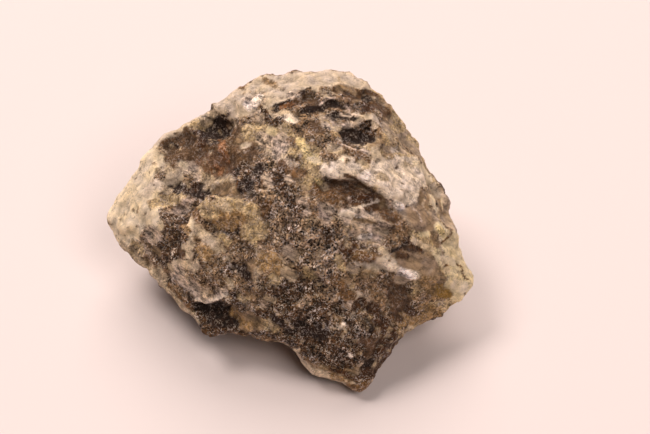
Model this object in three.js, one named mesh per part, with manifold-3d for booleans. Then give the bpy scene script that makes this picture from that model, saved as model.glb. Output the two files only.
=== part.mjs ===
// A raw piece of labradorite that fills the palm of a hand: one broken lump of feldspar rock.
// It is built the way it formed: a block bounded by fracture planes, the blocks and flakes that
// broke out of it, and a surface worn uneven all over. It rests on one small flat spot.
// Units are millimetres, +Z is up, and the origin is under the middle of the stone, at its lowest level.

import * as THREE from "three";
import { ConvexGeometry } from "three/addons/geometries/ConvexGeometry.js";
import { SimplexNoise } from "three/addons/math/SimplexNoise.js";
import { TessellateModifier } from "three/addons/modifiers/TessellateModifier.js";
import { mergeVertices } from "three/addons/utils/BufferGeometryUtils.js";
import Module from "manifold-3d";

const wasm = await Module();
wasm.setup();

// ---- Driving dimensions ----

const LONGEST_EDGE = 4.2; // of the finished facets
const SPLIT_PASSES = 16; // rounds of splitting, enough to bring every edge under that length
const SCAR_SEGMENTS = [16, 12]; // facets round and down each scar's ball
const SCAR_WEAR = [{ reach: 8, depth: 1.5 }]; // makes the mouth of a scar uneven
const WEAR = [
  { reach: 15, depth: 1 }, // broad unevenness
  { reach: 6, depth: 0.4 }, // knobs and dents
];
const WEAR_SEED = 11;
const WEAR_OFFSETS = [0, 31, 57]; // keep the noise that moves X, Y and Z apart
const MERGE = 1e-3; // points nearer than this are one point
const CUT_SIDE = 200; // of the box that cuts the foot flat, well over the stone's own size

// The corners where the fracture planes meet.
const CORNERS = {
  // The rim, round the broad sloping front face: from the low front corner, to the left and round.
  frontTip: [17.8, -31.2, 3],
  frontLip: [9.5, -29, 4.5],
  frontLipLeft: [2.5, -26, 5.5],
  leftLip: [-19.5, -19.5, 8.5],
  leftLipMiddle: [-24.2, -10.2, 11],
  leftLipBack: [-30.5, -1.2, 13.6],
  leftTipLow: [-41.5, 3.2, 16],
  leftTip: [-43.5, 7, 18],
  leftTipBack: [-40.5, 11.5, 20.5],
  leftShoulder: [-32, 20.3, 28.7],
  backShoulder: [-23.8, 22.7, 33.7],
  topShoulder: [-16.3, 26, 37.3],
  topLeft: [-7, 28.6, 42.8],
  topMiddle: [3, 28.6, 44.3],
  topRight: [12.5, 30, 43.6],
  topRightEnd: [20, 28.8, 41.4],
  rightBrow: [24.4, 24.3, 36.8],
  rightShoulder: [29.5, 19.5, 32],
  rightFlankTop: [31.7, 12, 27.5],
  rightFlank: [38.3, 6.5, 23.8],
  rightTipTop: [40.2, -4.2, 16.9],
  rightTip: [43, -9.5, 13.5],
  rightTipLow: [37.5, -14, 11.5],
  rightLip: [31, -17.5, 9],
  // The crests of the front face and of the top.
  crestLeft: [-0.5, 20.5, 44.5],
  crest: [7.5, 22, 46],
  crestRight: [17, 22.5, 43.8],
  ridgeTop: [3, 7, 42.3],
  ridgeMiddle: [-0.5, -1.5, 38],
  ridgeLow: [3, -9, 33.3],
  ridgeFoot: [10.5, -14.5, 28.3],
  bellyLeft: [-4, -15.5, 25.3],
  brow: [13, 4.5, 41.2],
  browRight: [25.5, 3.5, 36.7],
  browEnd: [28, -1, 31.7],
  flankKnee: [28.5, -13, 21.8],
  flankKneeTop: [35, -3.5, 23.7],
  skirtLeft: [-5, -19.5, 17.5],
  skirtMiddle: [3, -23.5, 14.9],
  skirtRight: [14, -25, 15],
  skirtEnd: [21.5, -23, 12.2],
  leftBoss: [-13.5, -0.5, 34.2],
  leftKnee: [-20, -7, 26.9],
  leftApron: [-16.5, -15.5, 18.5],
  leftFlat: [-32, 4, 26.2],
  leftFlatLow: [-29.5, -2.5, 21.5],
  // The steep back and the underside.
  backLeft: [-33, 21, 15],
  backLeftLow: [-23, 22, 6],
  backMiddle: [-9, 32, 22],
  backMiddleLow: [-4, 29, 7],
  backRight: [15, 33, 21],
  backRightLow: [18, 25, 7],
  sideRight: [33, 15, 14],
  sideRightLow: [28, 4, 6],
  // The foot, a little below the level that it is ground flat to.
  footFrontLeft: [-9, -4, -1.5],
  footLeft: [-14, 4, -1.5],
  footBackLeft: [-9, 13, -1.5],
  footBackRight: [9, 14, -1.5],
  footRight: [15, 5, -1.5],
  footFrontRight: [11, -4, -1.5],
  footFront: [3, -6, -1.5],
};

// The blocks that broke off along flat planes, each by its corners: first those that lie in the
// stone, along its rim and below it, then those outside.
const BLOCKS = {
  frontNotch: [
    [-22, -23.2, 13], [0, -26.6, 13], [-14, -8, -2], [0, -12, -2],
    [-27, -38, 13], [5.5, -40, 13], [-27, -38, -2], [5.5, -40, -2],
  ],
  rightNotch: [
    [19.7, -33.5, 10], [27.3, -22.7, 13], [38, -16.3, 15], [19, -26, -3], [23, -15, -3], [33, -7, -3],
    [30, -50, 12], [30, -50, -3], [55, -28, 15], [55, -28, -3],
  ],
};

// The scars that flakes left. Each is a dish: at is the middle of its floor, faces the way it looks,
// along the direction of its long side, and size its length, width and depth at the mouth.
const SCARS = {
  leftHollow: { at: [-21, 11, 29.5], faces: [-0.35, -0.45, 0.8], along: [1, 0.1, 0.3], size: [31, 25, 7] },
  browScoop: { at: [17.5, -3, 32.5], faces: [0.15, -0.75, 0.62], along: [1, 0, -0.35], size: [25, 17, 4] },
  underFront: { at: [8, -19, 3.5], faces: [0, -0.15, -1], along: [1, -0.1, 0], size: [36, 22, 4] },
  underLeft: { at: [-27, 0, 8], faces: [-0.5, -0.3, -0.8], along: [0.4, -1, 0], size: [34, 20, 4] },
  underRight: { at: [30, -4, 8], faces: [0.5, -0.2, -0.8], along: [0.5, 1, 0], size: [26, 18, 3] },
  backScar: { at: [-14, 28, 18], faces: [-0.3, 1, 0.1], along: [1, 0.2, 0], size: [34, 26, 5] },
  backStep: { at: [14, 31, 28], faces: [0.25, 0.95, 0.3], along: [1, -0.3, -0.3], size: [22, 14, 3] },
  sideScar: { at: [33, 6, 15], faces: [1, 0.2, -0.15], along: [0, 1, 0.4], size: [26, 18, 3.5] },
};

const LABRADORITE = new THREE.MeshStandardMaterial({
  name: "labradorite",
  color: 0x86705c,
  roughness: 0.85,
  metalness: 0,
});

// ---- Solids ----

function solidOf(geometry) {
  const bare = geometry.clone();
  bare.deleteAttribute("normal");
  bare.deleteAttribute("uv");
  const merged = mergeVertices(bare, MERGE);
  return new wasm.Manifold(
    new wasm.Mesh({
      numProp: 3,
      vertProperties: merged.attributes.position.array,
      triVerts: new Uint32Array(merged.index.array),
    }),
  );
}

function geometryOf(solid) {
  const { vertProperties, triVerts } = solid.getMesh();
  return new THREE.BufferGeometry()
    .setAttribute("position", new THREE.BufferAttribute(vertProperties, 3))
    .setIndex(new THREE.BufferAttribute(triVerts, 1));
}

// Park and Miller's random numbers, from 0 to 1: the same run of them each time.
function seededRandom() {
  const factor = 16807;
  const modulus = 2147483647;
  let state = WEAR_SEED;
  return () => {
    state = (state * factor) % modulus;
    return state / modulus;
  };
}

// Moves each point by smooth noise: the same noise for every shape, at the reaches and depths given.
function wear(geometry, levels) {
  const noise = new SimplexNoise({ random: seededRandom() });
  const at = geometry.attributes.position;
  const point = new THREE.Vector3();
  for (let i = 0; i < at.count; i++) {
    point.fromBufferAttribute(at, i);
    const worn = point.clone();
    for (const { reach, depth } of levels) {
      const [x, y, z] = point.clone().divideScalar(reach).toArray();
      const shift = WEAR_OFFSETS.map((offset) => noise.noise3d(x + offset, y, z));
      worn.addScaledVector(new THREE.Vector3(...shift), depth);
    }
    at.setXYZ(i, worn.x, worn.y, worn.z);
  }
  return geometry;
}

function blockOf(corners) {
  return solidOf(new ConvexGeometry(corners.map((corner) => new THREE.Vector3(...corner))));
}

// A ball big enough, and far enough out, to cut a dish of the scar's length, width and depth.
function scarOf({ at, faces, along, size: [length, width, depth] }) {
  const out = new THREE.Vector3(...faces).normalize();
  const across = new THREE.Vector3().crossVectors(out, new THREE.Vector3(...along)).normalize();
  const lengthwise = new THREE.Vector3().crossVectors(across, out);
  const radius = (width * width / 4 + depth * depth) / (2 * depth);
  const centre = new THREE.Vector3(...at).addScaledVector(out, radius);
  const place = new THREE.Matrix4().makeBasis(lengthwise, across, out).setPosition(centre);
  const ball = new THREE.SphereGeometry(radius, ...SCAR_SEGMENTS).scale(length / width, 1, 1);
  return solidOf(wear(ball.applyMatrix4(place), SCAR_WEAR));
}

// Everything below the level that the stone rests on.
function belowFoot() {
  return solidOf(new THREE.BoxGeometry(CUT_SIDE, CUT_SIDE, CUT_SIDE).translate(0, 0, -CUT_SIDE / 2));
}

// Brings the middle of the shape's box over the origin, and leaves its height alone.
function centred(geometry) {
  geometry.computeBoundingBox();
  const middle = geometry.boundingBox.getCenter(new THREE.Vector3());
  return geometry.translate(-middle.x, -middle.y, 0);
}

function stoneGeometry() {
  let rough = blockOf(Object.values(CORNERS));
  for (const corners of Object.values(BLOCKS)) rough = rough.subtract(blockOf(corners));
  for (const scar of Object.values(SCARS)) rough = rough.subtract(scarOf(scar));
  const fine = new TessellateModifier(LONGEST_EDGE, SPLIT_PASSES).modify(geometryOf(rough));
  const worn = solidOf(wear(mergeVertices(fine, MERGE), WEAR));
  return centred(geometryOf(worn.subtract(belowFoot())));
}

const stone = new THREE.Mesh(stoneGeometry(), LABRADORITE);
stone.name = "labradorite_stone";

const part = new THREE.Group();
part.add(stone);

export default part;
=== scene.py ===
import math
from itertools import chain, product

import bpy
import numpy as np
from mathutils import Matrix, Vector


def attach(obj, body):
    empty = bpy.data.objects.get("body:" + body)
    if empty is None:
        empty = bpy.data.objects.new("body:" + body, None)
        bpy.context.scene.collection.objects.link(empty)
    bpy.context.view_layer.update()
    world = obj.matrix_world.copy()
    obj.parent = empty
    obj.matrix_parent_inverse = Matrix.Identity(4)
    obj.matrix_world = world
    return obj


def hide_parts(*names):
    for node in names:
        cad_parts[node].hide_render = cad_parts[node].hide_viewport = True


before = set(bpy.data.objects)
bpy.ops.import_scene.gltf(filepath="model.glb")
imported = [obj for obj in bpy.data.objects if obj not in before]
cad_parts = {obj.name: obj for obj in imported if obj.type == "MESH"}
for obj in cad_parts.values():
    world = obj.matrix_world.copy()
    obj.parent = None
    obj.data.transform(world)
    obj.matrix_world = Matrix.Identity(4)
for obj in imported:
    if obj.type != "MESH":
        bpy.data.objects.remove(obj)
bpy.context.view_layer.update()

# ---- The camera ----
# It stands in front of the stone and looks steeply down at it, through a long lens.

FRAME_SIZE = (650, 434)  # pixels
LENS = 100  # mm
SENSOR_WIDTH = 36  # mm
CAMERA_ELEVATION = math.radians(50)
CAMERA_DISTANCE = 0.418
CAMERA_TARGET = Vector((0.0087, 0.0017, 0.0239))
NEAREST_SEEN = 0.01

camera_side = Vector((0, -math.cos(CAMERA_ELEVATION), math.sin(CAMERA_ELEVATION)))
camera_turn = camera_side.to_track_quat("Z", "Y")
bpy.ops.object.camera_add(location=CAMERA_TARGET + camera_side * CAMERA_DISTANCE)
camera = bpy.context.object
camera.rotation_euler = camera_turn.to_euler()
camera.data.sensor_width = SENSOR_WIDTH
camera.data.lens = LENS
camera.data.clip_start = NEAREST_SEEN
bpy.context.scene.camera = camera

# ---- The stone ----
# One lump of coarse feldspar rock, broken on every side and left as it broke. Its surface is of flat
# chips at every size, with hollows and ledges where flakes came away, and it stands on a small flat spot.

MM = 0.001
LUMP_SKIN = 0.8 * MM  # the side of a face while the big shapes are made
LEDGE_SKIN = 0.6 * MM  # and once the ledges are there
STONE_SKIN = 0.43 * MM  # and of the finished skin
FOOT_FADE = (0.2, 2.5)  # mm over the table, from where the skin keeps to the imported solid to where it's free
LEDGE_SLOPE = 0.35  # mm each way from a ledge's edge
CLEAVAGE_CORE = 0.6  # the share of a cleavage face's reach that is flattened all the way
FLATNESS = 0.85  # of a cleavage face
LATTICE = 32  # cells along each side of a table of random numbers, which then repeats
SMALLEST = 1e-9  # keeps a division from being by nothing

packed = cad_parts["labradorite_stone"]
stone = bpy.data.objects.new("raw_stone", packed.data.copy())
bpy.context.scene.collection.objects.link(stone)
bpy.ops.object.select_all(action="DESELECT")
stone.select_set(True)
bpy.context.view_layer.objects.active = stone
bpy.ops.object.mode_set(mode="EDIT")
bpy.ops.mesh.select_all(action="SELECT")
bpy.ops.mesh.remove_doubles(threshold=0.001 * MM)
bpy.ops.object.mode_set(mode="OBJECT")


def apply_modifier(kind, **settings):
    """Adds a modifier of that kind to the stone and applies it."""
    modifier = stone.modifiers.new(kind.lower(), kind)
    for name, value in settings.items():
        setattr(modifier, name, value)
    bpy.ops.object.modifier_apply(modifier=modifier.name)
    bpy.context.view_layer.update()


def skin():
    """Where the stone's vertices are, in mm, and which way each faces."""
    mesh = stone.data
    spots = np.empty(len(mesh.vertices) * 3, np.float32)
    facing = np.empty(len(mesh.vertices) * 3, np.float32)
    mesh.vertices.foreach_get("co", spots)
    mesh.vertex_normals.foreach_get("vector", facing)
    return spots.reshape(-1, 3) / MM, facing.reshape(-1, 3).astype(float)


def raise_skin(spots, facing, height):
    """Moves each vertex out by its height in mm, less near the foot, and none through the table."""
    moved = spots + facing * (height * fade(spots[:, 2], *FOOT_FADE))[:, None]
    moved[:, 2] = np.maximum(moved[:, 2], 0)
    stone.data.vertices.foreach_set("co", (moved * MM).astype(np.float32).ravel())
    stone.data.update()


def fade(value, low, high):
    """0 at low, 1 at high, and smooth between them."""
    share = np.clip((value - low) / (high - low), 0, 1)
    return share * share * (3 - 2 * share)


def swell(spots, size, seed, layers=1):
    """Smooth random values, about -1 to 1, that change over that size in mm, with finer layers."""
    total = np.zeros(len(spots))
    for layer in range(layers):
        table = np.random.default_rng(seed + layer).uniform(-1, 1, (LATTICE,) * 3)
        cell = spots / size * 2**layer
        base = np.floor(cell).astype(int)
        part = fade(cell - base, 0, 1)
        for corner in product((0, 1), repeat=3):
            share = np.prod(np.where(corner, part, 1 - part), axis=1)
            total += share * table[tuple(((base + corner) % LATTICE).T)] / 2**layer
    return total


def stray(spots, size, depth, seed):
    """The spots, each moved by up to about that depth in mm, so that what is drawn there wanders."""
    return spots + depth * np.stack([swell(spots, size, seed + 4 * axis, 2) for axis in range(3)], axis=1)


def chips(spots, size, seed, tilt, drop):
    """The height in mm of a surface of flat chips of about that size, each at its own tilt and level."""
    keenness = 22  # of the edges between them
    draws_each = 7  # three for a chip's place, three for its tilt and one for its level
    draws = np.random.default_rng(seed).uniform(-1, 1, (LATTICE, LATTICE, LATTICE, draws_each))
    home = np.floor(spots / size).astype(int)
    height = np.zeros(len(spots))
    weight = np.zeros(len(spots))
    for neighbour in product((-1, 0, 1), repeat=3):
        cell = home + neighbour
        draw = draws[tuple((cell % LATTICE).T)]
        from_middle = spots - (cell + 0.5 + draw[:, :3] / 2) * size
        pull = np.exp(-keenness * np.linalg.norm(from_middle, axis=1) / size)
        height += pull * (tilt * np.sum(from_middle * draw[:, 3:6], axis=1) + drop * draw[:, 6])
        weight += pull
    return height / weight


def under(column, row):
    """The point of the stone, in mm, that shows at this place of the camera's frame, or next inwards."""
    scale = SENSOR_WIDTH / LENS / FRAME_SIZE[0]
    middle = np.array(FRAME_SIZE) / 2
    parts = 200  # of the way to the middle of the frame
    most_parts = 60  # tried
    for part in range(most_parts):
        place = np.array((column, row)) + (middle - (column, row)) * part / parts
        across, down = (place - middle) * scale
        hit, point, _, _ = stone.ray_cast(
            CAMERA_TARGET + camera_side * CAMERA_DISTANCE, camera_turn @ Vector((across, -down, -1))
        )
        if hit:
            return np.array(point) / MM
    raise ValueError(f"the stone doesn't show near {column}, {row}")


def round_path(spots, path, reach):
    """The spots round a path of places in the frame, and how far in mm each is from it and left of it."""
    stops = np.array([under(*place) for place in path])
    inside = (spots > stops.min(axis=0) - reach) & (spots < stops.max(axis=0) + reach)
    near = np.all(inside, axis=1).nonzero()[0]
    gap = np.full(len(near), np.inf)
    left = np.zeros(len(near))
    for start, end in zip(stops, stops[1:] if len(stops) > 1 else stops):
        leg = end - start
        offset = spots[near] - start
        offset -= np.clip(offset @ leg / max(leg @ leg, SMALLEST), 0, 1)[:, None] * leg
        length = np.linalg.norm(offset, axis=1)
        across = np.cross(camera_side, leg)
        left = np.where(length < gap, offset @ across / max(np.linalg.norm(across), SMALLEST), left)
        gap = np.minimum(gap, length)
    return near, gap, left


def nearness(spots, path, reach, core):
    """1 along a path, and 0 at its reach in mm, with a flat core of that share."""
    near, gap, _ = round_path(spots, path, reach)
    share = np.zeros(len(spots))
    share[near] = fade(gap, reach, reach * core)
    return share


def step(spots, path, reach):
    """Falls from 1 on the left of a path to -1 on its right, and comes back to 0 at its reach in mm."""
    near, gap, left = round_path(spots, path, reach)
    share = np.zeros(len(spots))
    share[near] = np.clip(left / LEDGE_SLOPE, -1, 1) * fade(gap, reach, 0)
    return share


apply_modifier("REMESH", mode="VOXEL", voxel_size=LUMP_SKIN)
apply_modifier("SMOOTH", factor=0.5, iterations=3)

# What was broken out of the lump, and what was left standing: the height in mm, the reach in mm, the
# flat core as a share of the reach, and the path of its middle, in pixels of the camera's frame.
BREAKS = {
    "pocket under the top edge": (-2.8, 4.2, 0.3, [(213, 124), (224, 128)]),
    "dark left dent": (-1.2, 3.2, 0.2, [(170, 145), (182, 140)]),
    "crevice over the boss": (
        -0.8, 1.5, 0.1, [(166, 187), (180, 187), (191, 191), (204, 195), (238, 197)],
    ),
    "slot beside the hollow": (-0.8, 1.6, 0.1, [(248, 190), (251, 181), (258, 169)]),
    "boss": (0.7, 3.6, 0.6, [(203, 212), (225, 208), (245, 213), (253, 228)]),
    "boss arc": (0.5, 1.1, 0.2, [(238, 204), (252, 208), (260, 218), (263, 236)]),
    "three-cornered boss": (0.8, 4.0, 0.65, [(197, 232), (204, 248)]),
    "left dent": (-0.9, 3.8, 0.5, [(148, 244), (164, 240), (176, 226), (184, 214)]),
    "middle pit": (-0.7, 2.0, 0.2, [(240, 263), (246, 271), (250, 283)]),
    "black pocket": (-1.6, 3.4, 0.4, [(204, 313), (217, 316), (229, 319)]),
    "eye": (-1.6, 3.4, 0.4, [(350, 135), (368, 133)]),
    "dent under the lid": (-0.7, 2.0, 0.3, [(346, 154), (360, 160)]),
    "frosted ridge": (0.6, 4.4, 0.2, [(330, 164), (352, 168), (372, 174), (392, 184), (404, 196)]),
    "overhang": (-0.7, 3.6, 0.3, [(324, 187), (336, 188), (350, 188), (364, 194), (378, 201)]),
    "thin vein": (0.35, 0.8, 0.2, [(341, 216), (356, 210), (378, 202)]),
    "frosted slab": (0.8, 3.2, 0.5, [(350, 222), (368, 222), (384, 218)]),
    "slab foot": (-0.7, 1.8, 0.2, [(352, 238), (370, 240), (388, 232)]),
    "upper right dent": (-0.7, 2.2, 0.3, [(386, 149), (402, 150)]),
    "main crack": (-0.5, 0.9, 0.1, [(390, 253), (402, 246), (414, 240), (428, 240)]),
    "right bump": (0.8, 2.6, 0.4, [(440, 226), (448, 234)]),
    "white rib": (0.6, 2.8, 0.2, [(372, 252), (388, 263), (402, 270), (414, 275)]),
    "dark right hollow": (-1.0, 3.6, 0.3, [(392, 284), (402, 296), (398, 312)]),
    "olive dent": (-0.5, 2.6, 0.3, [(432, 292), (446, 292)]),
    "front dent": (-0.9, 4.5, 0.3, [(300, 330), (312, 346)]),
    "front scale": (0.4, 2.4, 0.6, [(352, 328), (362, 332)]),
    "side crack": (-0.7, 1.0, 0.1, [(366, 372), (374, 360)]),
    "top edge": (1.0, 4.5, 0.3, [(262, 79), (280, 75), (300, 73)]),
    "top right edge": (1.2, 3.2, 0.3, [(352, 76), (360, 80)]),
    "left shoulder": (1.0, 4.0, 0.3, [(217, 103), (226, 97)]),
    "left slope": (0.7, 4.0, 0.3, [(146, 153), (156, 142)]),
    "left tip": (0.9, 4.2, 0.3, [(109, 228), (116, 241)]),
    "left rim": (-1.0, 3.0, 0.3, [(130, 252), (140, 262)]),
    "low left rim": (0.5, 5.5, 0.3, [(188, 311), (200, 322)]),
    "bottom rim": (0.6, 5.0, 0.3, [(222, 332), (240, 335), (258, 338)]),
    "lip": (0.5, 3.6, 0.3, [(318, 374), (338, 380), (352, 385)]),
    "right tip": (0.9, 4.0, 0.3, [(470, 282), (464, 294)]),
    "right edge": (0.4, 4.0, 0.3, [(460, 250), (464, 260)]),
    "upper right edge": (-1.7, 4.4, 0.3, [(414, 138), (424, 152), (432, 172), (438, 186)]),
    "far shoulder": (-0.4, 3.0, 0.3, [(376, 90), (388, 106)]),
    "right waist": (0.8, 3.2, 0.3, [(453, 220), (456, 232)]),
    "front corner": (0.6, 3.6, 0.3, [(364, 387), (371, 382)]),
}

# The edges of flakes and slabs, where the skin steps down: the height in mm, the reach in mm, and the
# path, with the high side on its left.
LEDGES = {
    "first flake": (0.8, 2.4, [(274, 108), (283, 105), (291, 103), (300, 96), (311, 90)]),
    "second flake": (0.6, 1.8, [(300, 114), (311, 110), (322, 108)]),
    "third flake": (0.8, 2.2, [(324, 102), (336, 98), (346, 103), (351, 110)]),
    "fourth flake": (0.7, 1.8, [(326, 118), (334, 113), (345, 114), (357, 118), (366, 122)]),
    "far flake": (
        0.9, 2.6, [(336, 88), (350, 90), (358, 94), (366, 91), (376, 94), (384, 101), (390, 112)],
    ),
    "brow": (0.7, 2.0, [(339, 127), (350, 124), (362, 121), (373, 126), (379, 138)]),
    "overhang edge": (
        1.0, 4.2, [(318, 182), (330, 179), (345, 177), (356, 180), (366, 187), (380, 197), (388, 203)],
    ),
    "boss top": (0.7, 3.2, [(260, 207), (241, 200), (225, 197), (206, 201), (196, 207)]),
    "boss side": (0.5, 2.4, [(262, 246), (267, 230), (262, 214)]),
    "three-cornered edge": (0.7, 2.6, [(191, 220), (184, 240), (184, 259)]),
    "hollow's foot": (-0.5, 2.6, [(164, 187), (180, 186), (198, 190), (240, 196)]),
    "black pocket's roof": (0.9, 3.0, [(196, 304), (212, 304), (230, 306)]),
    "main crack": (0.3, 2.0, [(389, 254), (400, 247), (411, 241)]),
    "right crack": (0.3, 1.8, [(440, 249), (447, 241), (456, 233)]),
    "rib": (0.6, 3.0, [(368, 260), (388, 267), (402, 277), (415, 282)]),
    "side ridge": (0.6, 3.0, [(368, 380), (376, 362), (386, 350), (399, 341)]),
}

# The flat cleavage faces: the reach in mm and the path of the middle.
CLEAVAGES = {
    "smoky triangle": (4.6, [(414, 202), (419, 218)]),
    "yellow pane": (3.4, [(448, 245), (452, 256)]),
    "smoky pane": (4.2, [(406, 257), (430, 266)]),
    "tip's side": (3.4, [(380, 364), (388, 352)]),
    "left tip": (6.5, [(124, 208), (140, 182)]),
    "left tip's edge": (4.5, [(120, 232), (136, 240)]),
    "top": (5.5, [(252, 92), (290, 86)]),
    "top right": (4.5, [(392, 130), (408, 145)]),
    "frosted slope": (4.5, [(392, 176), (410, 186)]),
    "front scale": (2.6, [(366, 344)]),
}

spots, facing = skin()
wandering = stray(spots, size=4.0, depth=0.9, seed=1)
height = np.zeros(len(spots))
for rise, reach, core, path in BREAKS.values():
    height += rise * nearness(wandering, path, reach, core)
for rise, reach, path in LEDGES.values():
    height += rise * step(wandering, path, reach)
raise_skin(spots, facing, height)
apply_modifier("REMESH", mode="VOXEL", voxel_size=LEDGE_SKIN)

spots, facing = skin()
height = np.zeros(len(spots))
for reach, path in CLEAVAGES.values():
    share = nearness(spots, path, reach, CLEAVAGE_CORE)
    middle = share @ spots / share.sum()
    out = share @ facing
    out /= np.linalg.norm(out)
    height -= FLATNESS * share * ((spots - middle) @ out)
raise_skin(spots, facing, height)
apply_modifier("REMESH", mode="VOXEL", voxel_size=STONE_SKIN)
apply_modifier("SMOOTH", factor=0.5, iterations=1)


def linear(hex_colour):
    """The linear red, green and blue of an sRGB hex colour."""
    shares = [level / 255 for level in bytes.fromhex(hex_colour)]
    return [share / 12.92 if share <= 0.04045 else ((share + 0.055) / 1.055) ** 2.4 for share in shares]


# The minerals and how they broke: colour, then how grainy (0 to 1), how rough, and how streaked (0 to 1).
# Feldspar is milky where it was bruised, frosted with a lilac tinge along its cleavage, and smoky or olive
# where it broke clean. Rust stains it, and grains of black pyroxene lie in it, loose or crowded.
MINERALS = {
    "chalky": ("d8cab3", 0.08, 0.75, 0.1),
    "pinkish": ("c2b4a3", 0.12, 0.7, 0.1),
    "frosted beige": ("d4c7b9", 0.2, 0.65, 0.3),
    "pale olive": ("c6b59e", 0.22, 0.6, 0.1),
    "lilac": ("ac9c8e", 0.3, 0.6, 0.9),
    "grey lilac": ("9c8c83", 0.35, 0.6, 0.9),
    "frost": ("d9cfca", 0.3, 0.6, 0.7),
    "grey beige": ("a69680", 0.4, 0.65, 0.1),
    "dull beige": ("79624b", 0.6, 0.6, 0.1),
    "olive beige": ("ac9876", 0.45, 0.6, 0.1),
    "olive": ("8f744f", 0.4, 0.5, 0.1),
    "olive brown": ("6a4f32", 0.45, 0.6, 0.1),
    "dark olive": ("40260d", 0.4, 0.55, 0.1),
    "ochre": ("c7b689", 0.45, 0.6, 0.0),
    "amber": ("8a6c35", 0.2, 0.5, 0.0),
    "rust": ("8c6342", 0.4, 0.75, 0.0),
    "brown grains": ("75604a", 0.75, 0.75, 0.1),
    "salt and pepper": ("85705b", 1.0, 0.75, 0.2),
    "dark grains": ("4b3623", 0.85, 0.7, 0.2),
    "soft brown": ("57422e", 0.28, 0.75, 0.1),
    "reddish grains": ("725843", 0.3, 0.75, 0.1),
    "pyroxene": ("26170d", 0.35, 0.8, 0.0),
    "smoky": ("7f6b53", 0.15, 0.5, 0.6),
    "dark smoky": ("513a25", 0.2, 0.5, 0.6),
    "smoky glass": ("927e69", 0.06, 0.35, 0.35),
    "grey smoky": ("a08f7d", 0.12, 0.5, 0.5),
    "glassy olive": ("cfc0a0", 0.1, 0.4, 0.2),
}

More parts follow.
